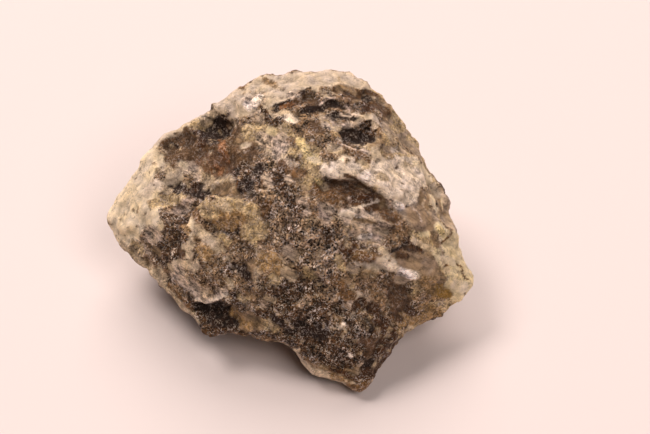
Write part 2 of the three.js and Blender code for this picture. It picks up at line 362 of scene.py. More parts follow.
# Where each shows: the mineral, its reach in mm, and its path in pixels of the camera's frame. The broad
# patches come first in each part of the stone, and the small ones over them.
PATCHES = {
    "centre": [
        ("salt and pepper", 7, [(272, 175), (285, 210), (300, 240)]),
        ("salt and pepper", 7, [(310, 260), (320, 290)]),
        ("salt and pepper", 5, [(330, 220), (330, 260)]),
        ("dark grains", 2.6, [(276, 172), (284, 186), (290, 195)]),
        ("grey lilac", 2.4, [(300, 206), (318, 208), (325, 216)]),
        ("dark grains", 1.8, [(326, 228), (330, 238)]),
        ("olive brown", 1.8, [(290, 172), (302, 175)]),
        ("olive brown", 2.2, [(266, 205), (262, 215)]),
        ("dark grains", 1.6, [(293, 207), (299, 210)]),
    ],
    "front": [
        ("dark grains", 8, [(285, 290), (300, 310), (320, 340)]),
        ("dark grains", 6, [(340, 330), (355, 350)]),
        ("dark olive", 3, [(380, 322), (390, 332), (385, 345)]),
        ("salt and pepper", 2, [(302, 302), (315, 300), (330, 308)]),
        ("pyroxene", 2.6, [(300, 328), (315, 334), (325, 330)]),
        ("pyroxene", 1.8, [(275, 318), (290, 330)]),
        ("olive brown", 2, [(335, 280), (342, 290), (352, 296)]),
        ("olive beige", 1.4, [(338, 258), (344, 268)]),
        ("dull beige", 2.6, [(362, 285), (375, 290), (385, 300)]),
        ("dull beige", 1.0, [(384, 310), (388, 315)]),
        ("dark olive", 1.6, [(355, 305), (362, 302)]),
        ("dark olive", 2, [(345, 248), (352, 252)]),
        ("dark smoky", 2.4, [(364, 340), (372, 348)]),
        ("lilac", 0.6, [(352, 316), (354, 312)]),
        ("frost", 1.4, [(342, 326)]),
        # Frosted feldspar, with a painted glint on it.
        ("frost", 0.6, [(348, 352), (351, 357)]),
        ("dull beige", 0.5, [(375, 342), (378, 350), (376, 356)]),
        ("pale olive", 1.8, [(293, 345), (298, 358), (310, 369), (328, 377), (340, 381)]),
        ("dark olive", 1.0, [(330, 371), (350, 375), (362, 377)]),
        ("dark olive", 2.0, [(376, 374), (386, 358), (398, 343)]),
        ("pyroxene", 1.8, [(366, 370), (372, 360)]),
        ("dark olive", 1.2, [(385, 345), (395, 338)]),
        ("dark olive", 2.2, [(362, 378), (372, 372)]),
        ("pale olive", 1.6, [(296, 366), (302, 371)]),
        ("dark grains", 2.0, [(286, 338), (293, 343)]),
        ("dark olive", 2.2, [(379, 350), (383, 358)]),
        ("brown grains", 1.6, [(337, 321), (342, 323)]),
        ("frost", 0.8, [(345, 327)]),
        ("dark grains", 2.4, [(321, 303), (329, 307)]),
        # Painted shade on the side by the front corner, which turns away from the light.
        ("dark olive", 1.8, [(396, 343), (402, 349)]),
        ("dark olive", 2.2, [(368, 306), (376, 310)]),
        ("dark grains", 2.8, [(328, 360), (342, 364)]),
        ("olive beige", 1.6, [(307, 274), (313, 276)]),
        ("olive brown", 1.8, [(348, 384), (358, 388), (368, 386)]),
    ],
    "left tip": [
        ("chalky", 5.5, [(113, 215), (125, 200), (138, 180), (146, 162), (152, 148), (165, 137)]),
        ("chalky", 5, [(120, 232), (135, 215), (150, 190), (158, 170)]),
        ("chalky", 4.5, [(150, 205), (140, 225)]),
        ("pinkish", 2.5, [(150, 190), (170, 178)]),
        ("pinkish", 2.4, [(158, 140), (172, 130), (190, 124), (205, 120)]),
        ("chalky", 2.6, [(149, 213), (156, 222)]),
        ("chalky", 2.2, [(122, 232), (127, 238)]),
    ],
    "hollow": [
        ("soft brown", 6, [(180, 150), (210, 150), (235, 160)]),
        ("reddish grains", 5, [(200, 165), (225, 170)]),
        ("soft brown", 3.4, [(170, 146), (186, 144), (195, 150)]),
        ("soft brown", 1.4, [(187, 128), (188, 135)]),
        ("pyroxene", 0.9, [(172, 143), (176, 146)]),
        ("dark olive", 2.4, [(197, 128), (205, 136), (200, 142)]),
        ("pyroxene", 3.2, [(210, 126), (218, 122), (226, 128)]),
        ("pyroxene", 4.0, [(207, 134), (222, 132)]),
        ("pale olive", 1.2, [(210, 116), (216, 110), (225, 110)]),
        ("soft brown", 2, [(232, 125), (236, 135)]),
        ("soft brown", 3, [(230, 150), (240, 160), (248, 150)]),
        ("rust", 1.4, [(220, 140), (222, 146), (224, 152), (228, 160)]),
        ("rust", 1.6, [(216, 168), (222, 172)]),
        ("rust", 1.6, [(240, 180), (243, 188)]),
        ("lilac", 2.6, [(184, 162), (190, 168), (198, 174)]),
        ("chalky", 1.2, [(183, 165), (186, 170)]),
        ("grey beige", 2, [(166, 166), (160, 172)]),
        ("brown grains", 1.8, [(160, 177)]),
        ("pinkish", 1.5, [(172, 180), (180, 176)]),
        ("dark olive", 1.8, [(168, 188), (178, 188), (190, 190), (198, 188)]),
        ("pyroxene", 2.2, [(170, 187), (180, 187)]),
        ("pyroxene", 1.3, [(188, 193), (196, 193)]),
        ("frost", 0.9, [(183, 183)]),
        ("grey beige", 2, [(205, 178), (213, 182), (222, 180), (232, 178)]),
        ("pyroxene", 2.6, [(200, 192), (208, 193), (214, 196)]),
        ("smoky", 1.8, [(215, 190), (230, 189), (240, 194)]),
        ("pyroxene", 2.5, [(247, 188), (251, 183), (256, 176), (259, 171)]),
        ("soft brown", 2.6, [(179, 152), (188, 156)]),
        ("olive beige", 1.7, [(196, 124), (203, 126)]),
        ("dark grains", 1.8, [(236, 172), (240, 178)]),
        ("pyroxene", 1.5, [(252, 188), (254, 193)]),
        ("pyroxene", 2.2, [(207, 138), (215, 141)]),
        ("grey beige", 1.6, [(207, 186), (213, 186)]),
        ("pyroxene", 1.4, [(179, 186), (186, 187)]),
    ],
    "top": [
        ("pinkish", 4.5, [(225, 98), (250, 92), (275, 88), (300, 84)]),
        ("pinkish", 4, [(240, 108), (260, 102), (285, 96)]),
        ("pinkish", 2.8, [(262, 80), (300, 76), (340, 76), (365, 84), (378, 92)]),
        ("pinkish", 2.5, [(300, 84), (330, 82)]),
        ("lilac", 2.4, [(250, 103), (262, 100)]),
        ("frost", 1.4, [(248, 106), (256, 104), (262, 98)]),
        ("olive", 1.4, [(265, 80), (273, 82)]),
        ("olive brown", 1.8, [(244, 88)]),
        ("grey beige", 1.2, [(275, 88), (282, 88)]),
        ("olive beige", 2.8, [(249, 131), (270, 128)]),
        ("dark grains", 1.6, [(261, 109), (266, 113), (272, 120), (280, 121)]),
        ("brown grains", 1.3, [(246, 122), (252, 120)]),
        ("pinkish", 1.8, [(245, 145)]),
        ("lilac", 2.8, [(265, 140), (276, 146), (280, 154)]),
        ("lilac", 2, [(258, 136), (285, 140)]),
        ("pale olive", 1.8, [(280, 115), (292, 113)]),
        ("olive beige", 1.5, [(288, 128), (290, 134)]),
        ("ochre", 1.8, [(300, 142), (306, 150)]),
        ("ochre", 2.2, [(310, 156), (318, 160)]),
        ("chalky", 1.2, [(311, 158), (317, 161)]),
        ("pale olive", 1.6, [(284, 158)]),
        ("pinkish", 1.6, [(290, 116), (295, 118)]),
        ("lilac", 1.5, [(255, 115), (261, 117)]),
    ],
    "right shoulder": [
        ("grey smoky", 4, [(388, 125), (400, 128), (410, 140), (418, 155)]),
        ("olive beige", 2.4, [(378, 86), (390, 102), (402, 118)]),
        ("olive beige", 1.8, [(392, 128), (405, 128)]),
        ("olive beige", 2.2, [(412, 140), (422, 158), (428, 168)]),
        ("frosted beige", 4.4, [(334, 168), (350, 168), (375, 172), (395, 178), (408, 190)]),
        ("frosted beige", 3.5, [(385, 165), (405, 172), (420, 178)]),
        ("frosted beige", 1.6, [(400, 160), (415, 160)]),
        ("grey smoky", 1.6, [(387, 148), (395, 150), (403, 150)]),
        ("smoky", 0.9, [(385, 150), (390, 153)]),
        ("frost", 1.4, [(393, 149), (398, 150)]),
        ("frosted beige", 1.8, [(380, 172), (400, 170)]),
        ("frosted beige", 1.8, [(340, 160), (352, 163)]),
        ("frosted beige", 2.2, [(410, 190), (415, 196)]),
        ("frost", 2, [(360, 172), (368, 178)]),
        ("pinkish", 2.2, [(395, 195), (402, 200)]),
        ("dark grains", 0.8, [(393, 167), (399, 168)]),
        ("dark grains", 1.3, [(421, 188)]),
        ("frosted beige", 1.6, [(379, 191), (388, 197)]),
        ("chalky", 2.2, [(419, 165), (426, 176)]),
        ("pinkish", 1.8, [(373, 152), (381, 156)]),
        ("frosted beige", 1.4, [(390, 163), (395, 166)]),
    ],
    "flakes": [
        ("brown grains", 5, [(300, 105), (330, 100), (355, 100), (375, 108)]),
        ("brown grains", 4.5, [(305, 125), (325, 140), (330, 150)]),
        ("rust", 1.2, [(286, 106), (296, 104)]),
        ("brown grains", 1.2, [(305, 100), (315, 103)]),
        # The next three are painted shadow under the ledges of the first, second and third flakes.
        ("pyroxene", 1.5, [(277, 106), (288, 104), (297, 100), (303, 94), (311, 91)]),
        ("pyroxene", 1.8, [(303, 112), (310, 110), (321, 108)]),
        ("pyroxene", 2.3, [(328, 103), (336, 100), (344, 104)]),
        ("pyroxene", 1.6, [(328, 117), (336, 114), (345, 117), (355, 119)]),
        ("dull beige", 0.8, [(325, 110), (337, 107), (347, 109)]),
        ("lilac", 0.9, [(340, 112), (350, 115), (357, 118)]),
        ("pinkish", 1.3, [(357, 115), (370, 117), (378, 122)]),
        ("lilac", 1.2, [(322, 124), (330, 127), (340, 127)]),
        ("grey beige", 1.1, [(322, 92), (330, 96), (338, 98)]),
        ("olive brown", 1.6, [(337, 88), (350, 90), (358, 92)]),
        ("smoky", 1.1, [(358, 94), (366, 91), (374, 93), (382, 100)]),
        ("pyroxene", 1.9, [(364, 98), (370, 98)]),
        ("dark olive", 2.4, [(368, 106), (380, 109)]),
        ("smoky", 1.8, [(384, 102), (388, 112), (386, 118)]),
        ("dull beige", 1.3, [(352, 100), (356, 106)]),
        ("pyroxene", 2.6, [(343, 134), (355, 136), (366, 138)]),
        ("dark grains", 2.2, [(362, 128), (370, 128), (374, 134)]),
        ("lilac", 1.2, [(345, 127), (352, 123), (360, 120)]),
        ("lilac", 0.9, [(343, 146), (352, 147), (360, 149), (367, 154)]),
        ("olive brown", 2.0, [(348, 153), (358, 156), (365, 161)]),
        ("pyroxene", 2.3, [(358, 138), (369, 141)]),
        ("brown grains", 1.6, [(378, 130), (379, 137)]),
        ("olive brown", 2.0, [(312, 126), (318, 131)]),
        ("dark smoky", 1.8, [(378, 105), (385, 110)]),
        ("dark grains", 1.8, [(345, 94), (353, 96)]),
        ("dull beige", 1.6, [(354, 160), (362, 160)]),
    ],
    "overhang": [
        ("olive brown", 2.6, [(316, 190), (330, 200), (342, 204)]),
        ("dark smoky", 3.2, [(326, 183), (338, 185), (350, 189)]),
        ("smoky", 2.6, [(360, 192), (372, 196), (384, 202)]),
        ("pyroxene", 1.1, [(326, 179), (336, 180), (344, 184)]),
        ("dark smoky", 1.2, [(345, 200), (360, 202), (376, 206)]),
        ("dull beige", 0.7, [(332, 190), (346, 192), (360, 190)]),
        ("lilac", 3.2, [(350, 222), (365, 223), (382, 220)]),
        ("lilac", 2.4, [(346, 214), (362, 216), (376, 212)]),
        ("grey lilac", 2.2, [(352, 234), (368, 236), (384, 230)]),
        ("frost", 1.2, [(352, 218), (364, 223)]),
        ("dark smoky", 2.0, [(384, 213), (390, 220)]),
        ("frosted beige", 0.8, [(342, 213), (352, 209), (364, 206), (378, 201)]),
        ("dull beige", 1.4, [(371, 210), (379, 210)]),
        ("grey beige", 1.5, [(320, 181), (323, 187)]),
        ("dark smoky", 1.2, [(357, 204), (366, 203)]),
        ("lilac", 1.8, [(362, 233), (369, 235)]),
        ("dark smoky", 1.6, [(346, 195), (355, 197)]),
        ("grey lilac", 1.8, [(392, 203), (396, 208)]),
    ],
    "right": [
        ("grey smoky", 3.2, [(436, 196), (444, 208), (450, 222)]),
        ("dull beige", 3.0, [(400, 214), (400, 230), (394, 240)]),
        ("grey smoky", 4.4, [(414, 218), (420, 213), (430, 220)]),
        ("smoky", 2.4, [(422, 196), (424, 206), (418, 216)]),
        ("chalky", 1.3, [(430, 197), (436, 208)]),
        ("smoky", 1.3, [(443, 202), (448, 214)]),
        ("grey smoky", 1.8, [(440, 190), (452, 212), (455, 228)]),
        ("olive beige", 1.4, [(412, 238), (424, 240)]),
        ("ochre", 1.8, [(440, 226), (444, 230)]),
        ("chalky", 2.8, [(445, 240), (452, 250), (456, 262)]),
        ("grey smoky", 1.5, [(434, 238), (438, 246)]),
        ("smoky", 4, [(402, 258), (420, 262), (438, 272)]),
        ("pale olive", 1.5, [(382, 250), (392, 262)]),
        ("pinkish", 2.2, [(360, 262), (375, 264), (392, 266), (404, 272), (414, 276)]),
        ("frost", 1.2, [(400, 272), (412, 275)]),
        ("brown grains", 2.2, [(385, 275), (400, 284), (408, 288)]),
        ("dark smoky", 3.2, [(394, 290), (402, 300), (398, 312)]),
        ("olive", 2.6, [(425, 284), (436, 290), (446, 290)]),
        ("amber", 1.8, [(440, 288), (448, 293)]),
        ("glassy olive", 3, [(452, 268), (462, 276), (468, 284)]),
        ("glassy olive", 2, [(450, 282), (458, 292)]),
        ("glassy olive", 2.6, [(457, 240), (463, 260), (470, 276), (473, 288)]),
        ("olive beige", 2, [(430, 305), (445, 306), (455, 300)]),
        ("olive", 2, [(424, 305), (436, 312)]),
        ("olive", 2.2, [(400, 318), (415, 318), (425, 318)]),
        ("dull beige", 0.9, [(398, 332), (402, 334)]),
        ("dark olive", 0.9, [(390, 253), (400, 247), (411, 241)]),
        ("dark olive", 0.6, [(411, 241), (418, 246), (424, 253)]),
        ("olive brown", 2.4, [(357, 257), (368, 259)]),
        ("glassy olive", 2.3, [(438, 254), (446, 262)]),
        ("pale olive", 1.4, [(425, 196), (427, 202)]),
        ("grey lilac", 1.8, [(397, 277), (405, 279)]),
        ("olive beige", 1.6, [(420, 232), (427, 235)]),
        ("glassy olive", 1.3, [(440, 199), (442, 205)]),
        ("glassy olive", 1.8, [(458, 297), (462, 300)]),
    ],
    "left": [
        ("brown grains", 4, [(150, 240), (165, 232), (178, 220)]),
        ("dark grains", 4, [(160, 252), (172, 258), (178, 245)]),
        ("dark grains", 2.6, [(172, 226), (182, 222)]),
        ("grey lilac", 2.2, [(168, 216), (178, 212), (187, 205)]),
        ("brown grains", 4, [(190, 275), (215, 275), (240, 285)]),
        ("lilac", 2.6, [(152, 236), (158, 232)]),
        ("olive beige", 2.2, [(155, 205), (168, 200), (180, 198)]),
        ("olive beige", 1.6, [(134, 240), (140, 250)]),
        ("olive beige", 4, [(205, 208), (225, 205), (245, 212), (256, 228)]),
        ("olive beige", 1.2, [(205, 202), (222, 199), (240, 201), (254, 206), (260, 214)]),
        ("olive", 2.4, [(225, 215), (240, 220)]),
        ("olive", 1.6, [(216, 222), (232, 226)]),
        ("olive beige", 1.0, [(246, 226), (252, 236), (256, 244)]),
        ("brown grains", 3, [(226, 246), (240, 244), (248, 250)]),
        ("pale olive", 1.8, [(192, 222), (190, 238), (187, 254)]),
        ("pale olive", 1.8, [(200, 232), (215, 245), (222, 252)]),
        ("olive", 2.2, [(202, 250), (212, 256)]),
        ("olive beige", 1.6, [(222, 236), (228, 242)]),
        ("pale olive", 1.6, [(172, 268), (185, 266), (198, 264)]),
        ("lilac", 2.8, [(180, 276), (190, 284), (200, 292)]),
        ("pyroxene", 1.8, [(238, 262), (244, 268), (250, 276)]),
        ("brown grains", 1.8, [(205, 282), (210, 288)]),
        ("grey beige", 1.3, [(230, 278), (234, 288)]),
        ("lilac", 1.3, [(196, 298), (208, 300), (218, 296), (226, 293)]),
        ("olive", 2.4, [(262, 262), (272, 258), (278, 268)]),
        ("olive beige", 1.0, [(241, 297), (248, 299)]),
        ("dark grains", 3.0, [(200, 322), (216, 330), (240, 336), (270, 340)]),
        ("pyroxene", 4.2, [(206, 310), (216, 314), (228, 318)]),
        ("olive", 1.6, [(234, 312), (240, 320), (248, 326)]),
        ("dull beige", 0.9, [(232, 337), (262, 341), (285, 344)]),
        ("grey beige", 2.0, [(125, 246), (140, 262), (155, 278), (172, 293), (185, 308), (196, 320)]),
        ("olive brown", 1.3, [(170, 285), (182, 298), (192, 310)]),
        ("olive brown", 1.8, [(196, 213), (198, 219)]),
        ("dark grains", 1.8, [(168, 216), (174, 217)]),
        ("olive beige", 1.8, [(272, 278), (277, 281)]),
        ("dark grains", 2.0, [(260, 311), (266, 313)]),
        ("brown grains", 1.3, [(207, 198), (213, 197)]),
        ("dark grains", 1.8, [(225, 270), (231, 272)]),
        ("brown grains", 1.6, [(220, 256), (226, 257)]),
        ("pale olive", 1.6, [(223, 207), (229, 209)]),
        ("grey beige", 2.0, [(158, 272), (164, 277)]),
        ("pyroxene", 2.4, [(211, 320), (220, 324)]),
    ],
}

# Over them come the glassy panes, the thin seams and rims, and the cracks, whose edges are sharp.
SEAMS = {
    "flakes": [
        ("soft brown", 1.6, [(304, 100), (314, 102)]),
        # Painted shadow under the first flake's ledge.
        ("pyroxene", 0.6, [(276, 106), (284, 104), (291, 101), (298, 97), (303, 92), (310, 89)]),
        ("rust", 0.6, [(281, 108), (290, 105), (298, 102)]),
        # The next two are painted shadow under the ledges of the second and third flakes.
        ("pyroxene", 0.8, [(303, 112), (311, 109), (320, 107)]),
        ("pyroxene", 1.3, [(326, 105), (334, 102), (342, 105)]),
        ("grey lilac", 0.4, [(320, 105), (327, 98), (336, 97), (343, 102), (350, 110)]),
        ("grey beige", 0.35, [(317, 91), (327, 90), (336, 93)]),
        ("smoky", 1.8, [(342, 89), (350, 92), (355, 97)]),
        ("dark smoky", 0.8, [(357, 97), (362, 92), (370, 91), (378, 95)]),
        ("dark smoky", 1.5, [(378, 104), (384, 113)]),
        ("pyroxene", 1.0, [(331, 117), (337, 114)]),
        ("pyroxene", 0.8, [(341, 118), (350, 119), (356, 117)]),
        ("lilac", 0.4, [(345, 110), (352, 113), (358, 116)]),
        ("pinkish", 0.45, [(359, 113), (369, 116), (376, 121), (380, 127)]),
        ("lilac", 0.45, [(322, 117), (330, 119), (336, 126), (345, 127), (352, 122)]),
        ("dark grains", 1.5, [(366, 125), (370, 127), (373, 133)]),
        ("pyroxene", 2.3, [(347, 136), (358, 137), (367, 141)]),
        ("lilac", 0.5, [(346, 145), (355, 149), (363, 150), (370, 154)]),
        ("dull beige", 0.8, [(344, 151), (354, 155), (362, 157)]),
        ("grey beige", 1.5, [(332, 148), (338, 151)]),
        ("frosted beige", 1.2, [(288, 118), (294, 121)]),
        ("lilac", 1.3, [(291, 95), (296, 98)]),
        ("pyroxene", 1.8, [(360, 141), (368, 140)]),
        ("dull beige", 1.2, [(340, 98), (344, 101)]),
        ("soft brown", 1.4, [(315, 125), (319, 130)]),
        ("grey beige", 1.0, [(374, 122), (375, 127)]),
        ("grey beige", 0.9, [(334, 127), (338, 128)]),
        ("dark smoky", 1.4, [(347, 94), (352, 96)]),
        ("brown grains", 1.1, [(309, 93), (312, 97)]),
        ("brown grains", 1.0, [(350, 145), (358, 147)]),
        ("dull beige", 1.1, [(289, 140), (293, 143)]),
        ("glassy olive", 1.2, [(269, 130), (274, 132)]),
        ("dark grains", 1.1, [(363, 144), (367, 143)]),
        ("soft brown", 0.9, [(296, 101), (299, 102)]),
        ("olive beige", 1.2, [(314, 149), (317, 151)]),
        ("olive beige", 1.2, [(292, 151), (296, 153)]),
    ],
    "overhang": [
        ("dark smoky", 1.6, [(334, 185), (346, 190), (362, 195)]),
        ("dark smoky", 0.7, [(346, 176), (353, 177), (360, 184), (372, 190), (380, 198)]),
        ("dark smoky", 1.3, [(367, 207), (376, 208)]),
        ("dark smoky", 1.4, [(387, 214), (394, 218)]),
        ("dark olive", 1.2, [(353, 199), (362, 199), (371, 197)]),
        ("frosted beige", 0.35, [(340, 214), (352, 209), (365, 205), (379, 201)]),
        ("pinkish", 0.7, [(345, 214), (351, 216)]),
        ("lilac", 1.5, [(356, 225), (366, 227)]),
        ("frost", 0.8, [(360, 237), (370, 236)]),
        ("smoky", 0.6, [(354, 219), (366, 221), (376, 224)]),
        ("grey smoky", 1.4, [(397, 205), (402, 210)]),
        ("frosted beige", 1.4, [(382, 187), (388, 194)]),
        ("grey beige", 1.4, [(378, 175), (385, 178)]),
        ("lilac", 1.4, [(325, 207), (331, 210)]),
        ("grey smoky", 1.2, [(378, 230), (384, 232)]),
        ("grey beige", 1.2, [(360, 163), (365, 166)]),
        ("frost", 1.2, [(396, 204), (401, 207)]),
        ("ochre", 0.9, [(317, 180), (320, 182)]),
        ("lilac", 1.2, [(373, 228), (377, 230)]),
    ],
    "right": [
        ("smoky glass", 2.0, [(424, 198), (421, 210)]),
        ("smoky glass", 2.4, [(412, 214), (418, 223), (428, 223)]),
        ("lilac", 0.3, [(411, 206), (417, 214), (420, 223)]),
        ("lilac", 0.25, [(425, 197), (423, 205), (427, 214)]),
        ("chalky", 0.8, [(433, 197), (435, 207)]),
        ("smoky", 0.7, [(438, 194), (441, 205), (441, 214)]),
        ("glassy olive", 1.8, [(440, 227), (446, 234)]),
        ("ochre", 1.0, [(439, 228), (443, 232)]),
        ("smoky", 1.2, [(433, 235), (437, 244)]),
        ("glassy olive", 0.8, [(421, 234), (428, 234)]),
        ("pale olive", 0.9, [(413, 241), (421, 245), (432, 249)]),
        ("dark smoky", 0.9, [(398, 252), (406, 247), (418, 250)]),
        ("smoky glass", 2.4, [(404, 259), (418, 263), (432, 268)]),
        ("dark smoky", 0.9, [(397, 255), (408, 256)]),
        ("glassy olive", 2.2, [(447, 245), (452, 256)]),
        ("pale olive", 1.2, [(443, 258), (447, 270)]),
        ("pyroxene", 0.45, [(391, 253), (400, 247), (409, 241), (410, 236)]),
        ("dark olive", 0.4, [(409, 241), (414, 246), (421, 251)]),
        ("olive brown", 0.35, [(441, 243), (447, 239), (452, 234)]),
        ("olive brown", 0.35, [(446, 265), (455, 263), (461, 268), (463, 276), (468, 279)]),
        ("frosted beige", 1.0, [(386, 264), (396, 269)]),
        ("frost", 1.4, [(402, 275), (413, 276)]),
        ("dark smoky", 2.0, [(400, 286), (402, 298)]),
        ("amber", 1.3, [(441, 293), (448, 294)]),
        ("chalky", 1.8, [(456, 284), (464, 288)]),
        ("pinkish", 1.2, [(433, 187), (437, 194)]),
        ("chalky", 1.2, [(446, 259), (452, 262)]),
        ("grey smoky", 1.2, [(398, 280), (404, 281)]),
    ],
    "left": [
        ("pyroxene", 1.6, [(209, 314), (220, 316)]),
        ("frosted beige", 0.6, [(196, 299), (208, 302), (218, 298), (226, 294)]),
        ("chalky", 0.6, [(193, 222), (190, 234)]),
        ("dark grains", 1.6, [(183, 230), (184, 238)]),
        ("chalky", 2.0, [(152, 218), (158, 224)]),
        ("grey beige", 1.3, [(203, 121), (208, 123)]),
        ("dark grains", 1.2, [(199, 314), (203, 319)]),
        ("dark grains", 1.5, [(243, 166), (247, 171)]),
        ("lilac", 1.4, [(265, 178), (269, 183)]),
        ("brown grains", 1.2, [(236, 257), (240, 261)]),
        ("dark grains", 1.2, [(256, 178), (260, 182)]),
        ("grey beige", 1.2, [(165, 189), (169, 191)]),
        ("dark smoky", 1.2, [(281, 164), (284, 167)]),
        ("olive", 1.1, [(186, 226), (188, 231)]),
        ("dark smoky", 1.2, [(180, 249), (184, 253)]),
        ("smoky", 1.2, [(156, 250), (160, 254)]),
        ("grey beige", 1.2, [(233, 121), (236, 126)]),
    ],
    "centre and front": [
        ("grey smoky", 1.6, [(286, 272), (292, 276)]),
        ("grey smoky", 1.6, [(287, 251), (294, 255)]),
        ("pinkish", 1.0, [(294, 361), (299, 368)]),
        ("grey beige", 1.2, [(268, 297), (273, 300)]),
        ("grey smoky", 1.2, [(350, 268), (356, 270)]),
        # Painted shade on the side by the front corner, which turns away from the light.
        ("dark olive", 1.2, [(396, 350), (402, 346)]),
        ("dark olive", 1.2, [(408, 310), (413, 313)]),
        ("dull beige", 1.2, [(312, 202), (315, 214)]),
        ("olive", 1.2, [(334, 376), (341, 379)]),
        ("lilac", 1.1, [(288, 178), (290, 181)]),
        ("dark smoky", 1.2, [(396, 317), (400, 319)]),
        ("dark grains", 1.2, [(286, 227), (290, 229)]),
        ("dark grains", 1.2, [(351, 241), (356, 243)]),
    ],
}
PATCH_CORE = 0.4  # the share of a patch's reach that it fills
PATCH_RAGGEDNESS = 0.25  # of its edge
SEAM_CORE = 0.6
SEAM_RAGGEDNESS = 0.1
EDGE = (0.15, 0.85)  # the nearness at which a patch starts to show, and at which it covers all

# What shows where no patch lies: blotches of each mineral, with their size in mm and the swell that they
# start at, over one mineral that covers the whole stone.
BASE_MINERAL = "brown grains"
BLOTCHES = (
    ("dull beige", 7.0, -0.1),
    ("grey beige", 9.0, 0.1),
    ("olive beige", 5.0, 0.25),
    ("lilac", 5.0, 0.3),
    ("smoky", 7.0, 0.4),
    ("dark grains", 6.0, 0.2),
    ("pinkish", 4.0, 0.5),
    ("pyroxene", 3.0, 0.6),
)
BLOTCH_EDGE = 0.4  # from the swell that a blotch starts at to the one where it covers all

finishes = {name: np.array(linear(colour) + habit) for name, (colour, *habit) in MINERALS.items()}
spots, facing = skin()
coat = np.tile(finishes[BASE_MINERAL], (len(spots), 1))
for layer, (mineral, size, least) in enumerate(BLOTCHES):
    share = fade(swell(spots, size, seed=110 + 3 * layer, layers=3), least, least + BLOTCH_EDGE)[:, None]
    coat += share * (finishes[mineral] - coat)
wandering = stray(stray(spots, size=3.0, depth=0.7, seed=61), size=1.1, depth=0.4, seed=75)
steady = stray(spots, size=1.5, depth=0.15, seed=87)
frayed = swell(spots, size=1.2, seed=90, layers=2)
for table, drawn_on, core, raggedness in (
    (PATCHES, wandering, PATCH_CORE, PATCH_RAGGEDNESS),
    (SEAMS, steady, SEAM_CORE, SEAM_RAGGEDNESS),
):
    for mineral, reach, path in chain(*table.values()):
        share = nearness(drawn_on, path, reach, core)
        ragged = fade(share + raggedness * frayed * (1 - share), *EDGE)[:, None]
        coat += ragged * (finishes[mineral] - coat)

# The chips, from large to small: the grainy minerals broke rough, and the glassy ones almost smooth.
GLASSY_CHIPS = 0.15  # of the height that chips have on the grainiest mineral, on one without grain
coarseness = GLASSY_CHIPS + (1 - GLASSY_CHIPS) * coat[:, 3]
wandering = stray(spots, size=4.0, depth=0.25, seed=21)
height = chips(wandering, size=8.0, seed=31, tilt=0.1, drop=0.12)
height += coarseness * chips(wandering, size=3.4, seed=32, tilt=0.26, drop=0.16)
height += coarseness * chips(wandering, size=1.6, seed=33, tilt=0.4, drop=0.16)
GRIT = 0.1  # mm
height += coarseness * GRIT * swell(spots, size=0.9, seed=34)
raise_skin(spots, facing, height)
bpy.ops.object.shade_smooth()

# How far each vertex stands proud of those round it, about -1 in a cavity to 1 on a crest.
RELIEF_ROUNDS = 6
RELIEF_HEIGHT = 0.12  # mm
spots, facing = skin()
edges = np.empty(len(stone.data.edges) * 2, np.int32)
stone.data.edges.foreach_get("vertices", edges)
starts, ends = edges.reshape(-1, 2).T
neighbours = np.bincount(edges, minlength=len(spots))[:, None]
smooth = spots.copy()
for _ in range(RELIEF_ROUNDS):
    total = np.zeros(smooth.shape)
    for here, there in ((starts, ends), (ends, starts)):
        for axis in range(3):
            total[:, axis] += np.bincount(here, smooth[there, axis], len(spots))
    smooth = total / neighbours
relief = np.clip(np.sum((spots - smooth) * facing, axis=1) / RELIEF_HEIGHT, -1, 1)

mineral_layer = stone.data.attributes.new("mineral", "FLOAT_COLOR", "POINT")
mineral_layer.data.foreach_set("color", coat[:, :4].astype(np.float32).ravel())
finish_layer = stone.data.attributes.new("finish", "FLOAT_COLOR", "POINT")
habits = np.column_stack((coat[:, 4:6], relief / 2 + 0.5, np.ones(len(spots))))
finish_layer.data.foreach_set("color", habits.astype(np.float32).ravel())


def add(tree, kind, sockets=(), **settings):
    """Adds a node with its settings, and gives each socket its value or the output that feeds it."""
    node = tree.nodes.new("ShaderNode" + kind)
    for name, value in settings.items():
        setattr(node, name, value)
    for name, value in dict(sockets).items():
        if isinstance(value, bpy.types.NodeSocket):
            tree.links.new(value, node.inputs[name])
        else:
            node.inputs[name].default_value = value
    return node


# The rock is coarse feldspar and pyroxene as it broke: never cut, ground or polished. Over the painted
# minerals the eye sees single crystals and knots of them, each with its own shade and tilt.
KNOT = 1.1 * MM  # of crystals
CRYSTAL = 0.36 * MM
KNOT_SHADE = 0.15  # how much of a spot's light and dark comes from its knot
CRYSTAL_SHADE = 0.65
MOTTLE_SHADE = 0.6
MOTTLE = 2.5 * MM  # of the cloudy light and dark
WAVE = 1.2 * MM  # of the crystals' crooked edges
CROOKEDNESS = 0.9 * MM
MIDDLE = (0.5, 0.5, 0.5)  # of a random colour: less this, it runs each way from nothing

rock = bpy.data.materials.new("broken labradorite rock")
rock.use_nodes = True
tree = rock.node_tree
shader = tree.nodes["Principled BSDF"]
place = add(tree, "TexCoord").outputs["Object"]
painted = add(tree, "Attribute", attribute_name="mineral")
graininess = painted.outputs["Alpha"]
finish = add(tree, "Attribute", attribute_name="finish")
roughness, streakiness, proudness = add(tree, "SeparateColor", {0: finish.outputs["Color"]}).outputs

